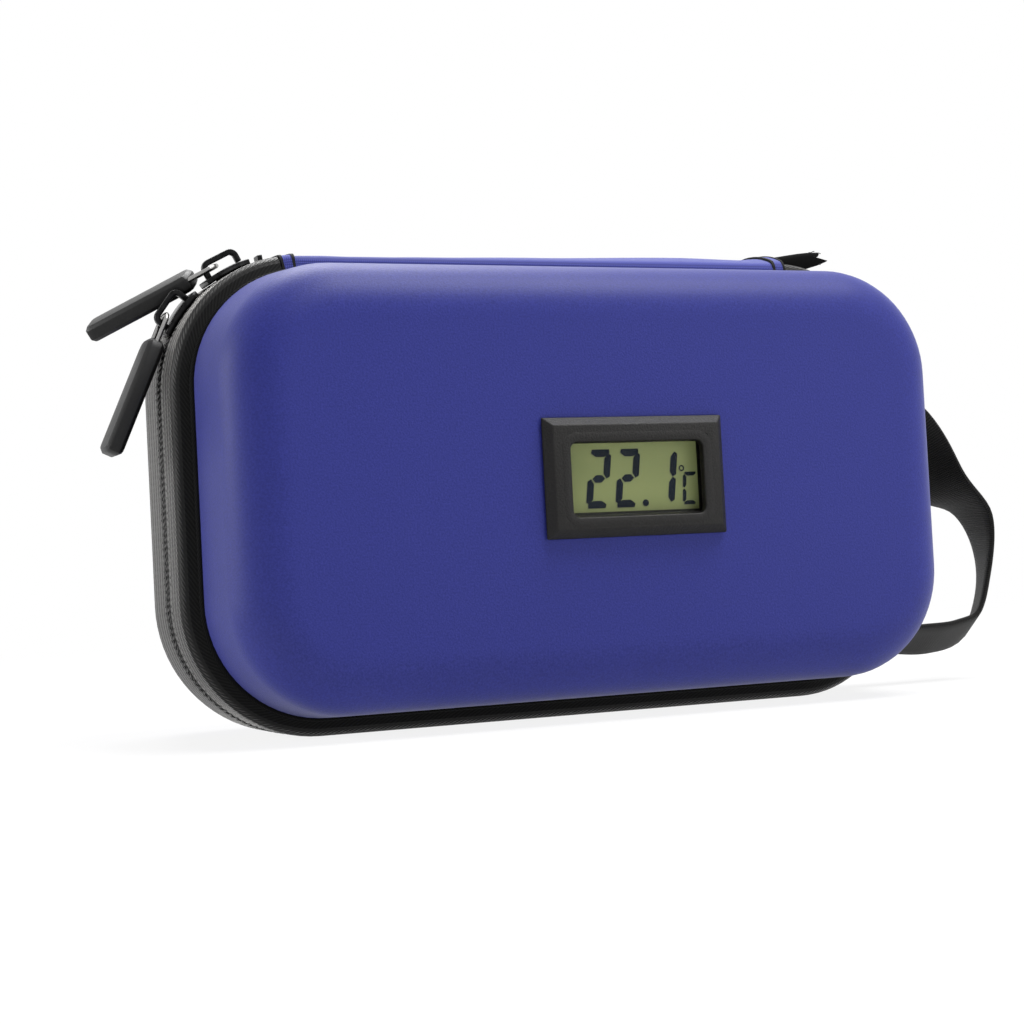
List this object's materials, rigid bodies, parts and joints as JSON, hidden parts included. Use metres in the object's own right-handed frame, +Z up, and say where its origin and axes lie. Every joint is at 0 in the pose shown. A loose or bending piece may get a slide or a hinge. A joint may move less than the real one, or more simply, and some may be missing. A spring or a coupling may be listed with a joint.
{
  "type": "insulin cooling case",
  "caption": "Hard zip-up case that keeps insulin cool: two moulded shells on a cloth hinge, a panel thermometer in the front, a webbing hand strap and a cold pack with pen loops inside.",
  "frame": {"origin": "middle of the flat of the zip band that the case stands on", "axes": "+X to the right along the case's length, +Y to the back, +Z up; the thermometer faces -Y"},
  "size_m": [0.2598, 0.0928, 0.1221],
  "materials": {
    "shell": "matte coated fabric on moulded foam",
    "cloth": "woven cloth",
    "tape": "woven zip tape",
    "binding": "folded binding",
    "coil": "satin nylon",
    "foil": "foil-faced foam",
    "gunmetal": "satin",
    "steel": "satin",
    "grip": "matte",
    "webbing": "woven webbing",
    "housing": "satin",
    "lens": "polished",
    "lcd": "satin",
    "rubber": "matte",
    "board": "satin",
    "epoxy": "gloss",
    "brass": "satin",
    "gel": "gloss film",
    "elastic": "knitted elastic"
  },
  "bodies": {
    "rear_half": {"rear_shell": "shell", "rear_liner": "foil", "rear_welt": "binding", "rear_zip_tape": "tape", "rear_zip_coil": "coil", "hinge_strip": "cloth", "zip_tape_tail": "tape", "zip_stop_left": "steel", "zip_stop_right": "steel", "pen_board": "cloth", "pen_loops_left": "elastic", "pen_loops_right": "elastic", "cold_pack": "gel", "pack_band_left": "elastic", "pack_band_right": "elastic"},
    "lid": {"front_shell": "shell", "front_liner": "foil", "front_welt": "binding", "front_zip_tape": "tape", "front_zip_coil": "coil", "display_housing": "housing", "display_lens": "lens", "lcd_panel": "lcd", "zebra_strip_upper": "rubber", "zebra_strip_lower": "rubber", "circuit_board": "board", "chip_blob": "epoxy", "thermistor": "epoxy", "unit_switch": "epoxy", "battery_contact_left": "brass", "battery_contact_right": "brass", "coin_cell_left": "steel", "coin_cell_right": "steel", "module_rear_cover": "housing", "clip_left": "steel", "clip_right": "steel"},
    "upper_slider": {"upper_slider": "gunmetal"},
    "upper_pull": {"upper_pull_link": "steel", "upper_pull_grip": "grip"},
    "lower_slider": {"lower_slider": "gunmetal"},
    "lower_pull": {"lower_pull_link": "steel", "lower_pull_grip": "grip"},
    "strap": {"hand_strap": "webbing"},
    "battery_door": {"battery_door": "housing"},
    "unit_button": {"unit_button": "housing"}
  },
  "joints": [
    {"name": "lid_hinge", "type": "hinge", "parent": "rear_half", "child": "lid", "pos_m": [0, -0.014, 0.115], "axis": [-1, 0, 0], "range_deg": [0, 110]},
    {"name": "upper_slider_run", "type": "hinge", "parent": "rear_half", "child": "upper_slider", "pos_m": [-0.067, -0.002, 0.083], "axis": [0, 1, 0], "range_deg": [0, 4.6]},
    {"name": "upper_pull_swing", "type": "hinge", "parent": "upper_slider", "child": "upper_pull", "pos_m": [-0.08521, -0.002, 0.11441], "axis": [0.4855, 0.8387, 0.2468], "range_deg": [0, 110]},
    {"name": "lower_slider_run", "type": "hinge", "parent": "rear_half", "child": "lower_slider", "pos_m": [-0.067, -0.002, 0.083], "axis": [0, -1, 0], "range_deg": [0, 24]},
    {"name": "lower_pull_swing", "type": "hinge", "parent": "lower_slider", "child": "lower_pull", "pos_m": [-0.09751, -0.002, 0.10267], "axis": [0, 1, 0], "range_deg": [0, 36]},
    {"name": "strap_swing", "type": "hinge", "parent": "rear_half", "child": "strap", "pos_m": [0.1008, 0.0048, 0.076], "axis": [0.1276, 0, 0.9918], "range_deg": [-20, 20]},
    {"name": "battery_door_slide", "type": "slide", "parent": "lid", "child": "battery_door", "axis": [-1, 0, 0], "range_m": [0, 0.016]},
    {"name": "unit_button_press", "type": "slide", "parent": "lid", "child": "unit_button", "axis": [0, -1, 0], "range_m": [0, 0.0008], "stiffness_N_per_m": 500, "springref_m": -0.0006}
  ]
}
